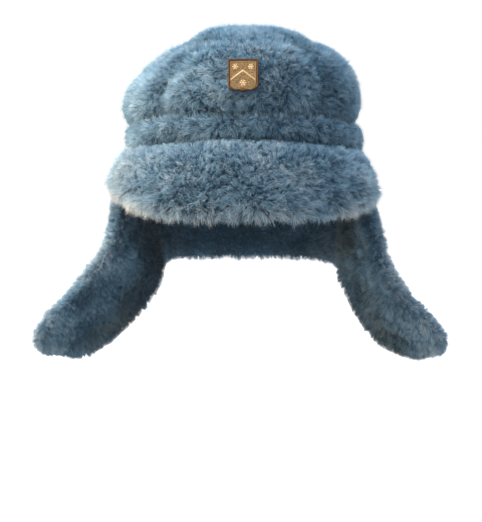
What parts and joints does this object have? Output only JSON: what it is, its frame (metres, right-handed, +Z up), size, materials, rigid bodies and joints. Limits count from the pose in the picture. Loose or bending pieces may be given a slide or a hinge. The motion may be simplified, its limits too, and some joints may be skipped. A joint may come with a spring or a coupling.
{
  "type": "military winter hat",
  "caption": "Padded pile-cloth winter hat with a tall crown, turned-down visor, splayed ear flaps, neck curtain and a small shield badge; worn on a head.",
  "frame": {"origin": "middle of the rim, where the hat sits on a head", "axes": "+Z up; the wearer looks along -Y, and the wearer's left is +X"},
  "size_m": [0.4226, 0.3252, 0.3409],
  "materials": {
    "pile_cloth": "dense blue-grey wool pile, paler at its edges",
    "gilt_bronze": "die-struck relief, worn bright on top and dark in the recesses"
  },
  "bodies": {
    "root": {"crown_top": "pile_cloth", "crown_front": "pile_cloth", "crown_side_left": "pile_cloth", "crown_side_right": "pile_cloth", "crown_back": "pile_cloth", "crown_band": "pile_cloth", "rim_wall": "pile_cloth", "visor": "pile_cloth", "ear_flap_left": "pile_cloth", "ear_flap_right": "pile_cloth", "neck_flap": "pile_cloth", "badge": "gilt_bronze"}
  },
  "joints": []
}
